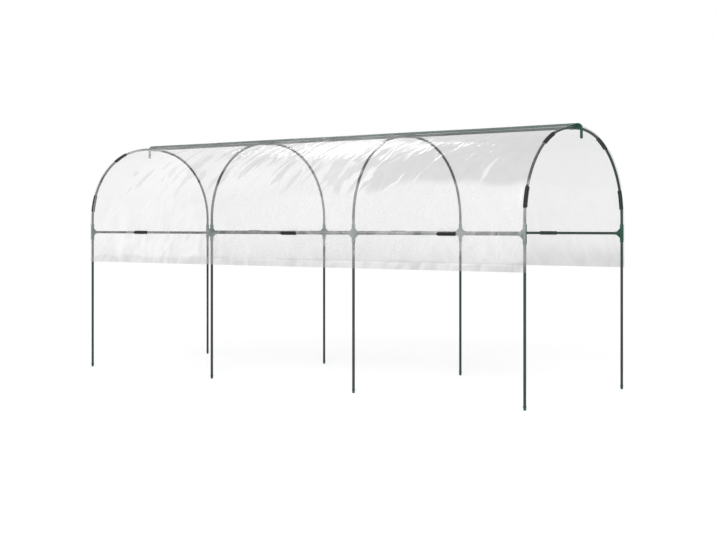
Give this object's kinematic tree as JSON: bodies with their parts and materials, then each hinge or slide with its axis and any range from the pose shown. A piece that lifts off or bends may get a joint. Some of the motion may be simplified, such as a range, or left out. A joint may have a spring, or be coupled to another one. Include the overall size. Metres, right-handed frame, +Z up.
{
  "type": "tunnel greenhouse",
  "caption": "Low tunnel greenhouse: push-fit tube hoops, legs and rails in moulded connectors under one clear film cover held by snap clips, with open ends.",
  "frame": {"origin": "on the ground, at the middle of the footprint of the legs", "axes": "+X along the tunnel and its ridge, +Y across it from the front legs to the back legs, +Z up"},
  "size_m": [3.1014, 1.0068, 1.3639],
  "materials": {
    "coated_tube": "dark green-grey plastic coating, satin",
    "moulded_green": "moulded dark green plastic",
    "ridge_green": "extruded deep green plastic, satin",
    "clip_black": "black snap clip, satin",
    "cover_film": "clear film with a light haze, creased, glossy"
  },
  "bodies": {
    "root": {"film_cover": "cover_film", "foot_cap_back_1": "moulded_green", "foot_cap_back_2": "moulded_green", "foot_cap_back_3": "moulded_green", "foot_cap_back_4": "moulded_green", "foot_cap_front_1": "moulded_green", "foot_cap_front_2": "moulded_green", "foot_cap_front_3": "moulded_green", "foot_cap_front_4": "moulded_green", "hoop_1": "coated_tube", "hoop_2": "coated_tube", "hoop_3": "coated_tube", "hoop_4": "coated_tube", "hoop_clip_back_high_4": "clip_black", "hoop_clip_back_low_4": "clip_black", "hoop_clip_front_high_1": "clip_black", "hoop_clip_front_high_4": "clip_black", "hoop_clip_front_low_1": "clip_black", "hoop_clip_front_low_4": "clip_black", "leg_back_1": "coated_tube", "leg_back_2": "coated_tube", "leg_back_3": "coated_tube", "leg_back_4": "coated_tube", "leg_front_1": "coated_tube", "leg_front_2": "coated_tube", "leg_front_3": "coated_tube", "leg_front_4": "coated_tube", "rail_clip_back_1": "clip_black", "rail_clip_back_2": "clip_black", "rail_clip_back_3": "clip_black", "rail_clip_front_1": "clip_black", "rail_clip_front_2": "clip_black", "rail_clip_front_3": "clip_black", "ridge_connector_1": "moulded_green", "ridge_connector_2": "moulded_green", "ridge_connector_3": "moulded_green", "ridge_connector_4": "moulded_green", "ridge_pole_end_1": "ridge_green", "ridge_pole_end_2": "ridge_green", "ridge_pole_middle": "ridge_green", "ridge_rail_1": "coated_tube", "ridge_rail_2": "coated_tube", "ridge_rail_3": "coated_tube", "side_connector_back_1": "moulded_green", "side_connector_back_2": "moulded_green", "side_connector_back_3": "moulded_green", "side_connector_back_4": "moulded_green", "side_connector_front_1": "moulded_green", "side_connector_front_2": "moulded_green", "side_connector_front_3": "moulded_green", "side_connector_front_4": "moulded_green", "side_rail_back_1": "coated_tube", "side_rail_back_2": "coated_tube", "side_rail_back_3": "coated_tube", "side_rail_front_1": "coated_tube", "side_rail_front_2": "coated_tube", "side_rail_front_3": "coated_tube"}
  },
  "joints": []
}
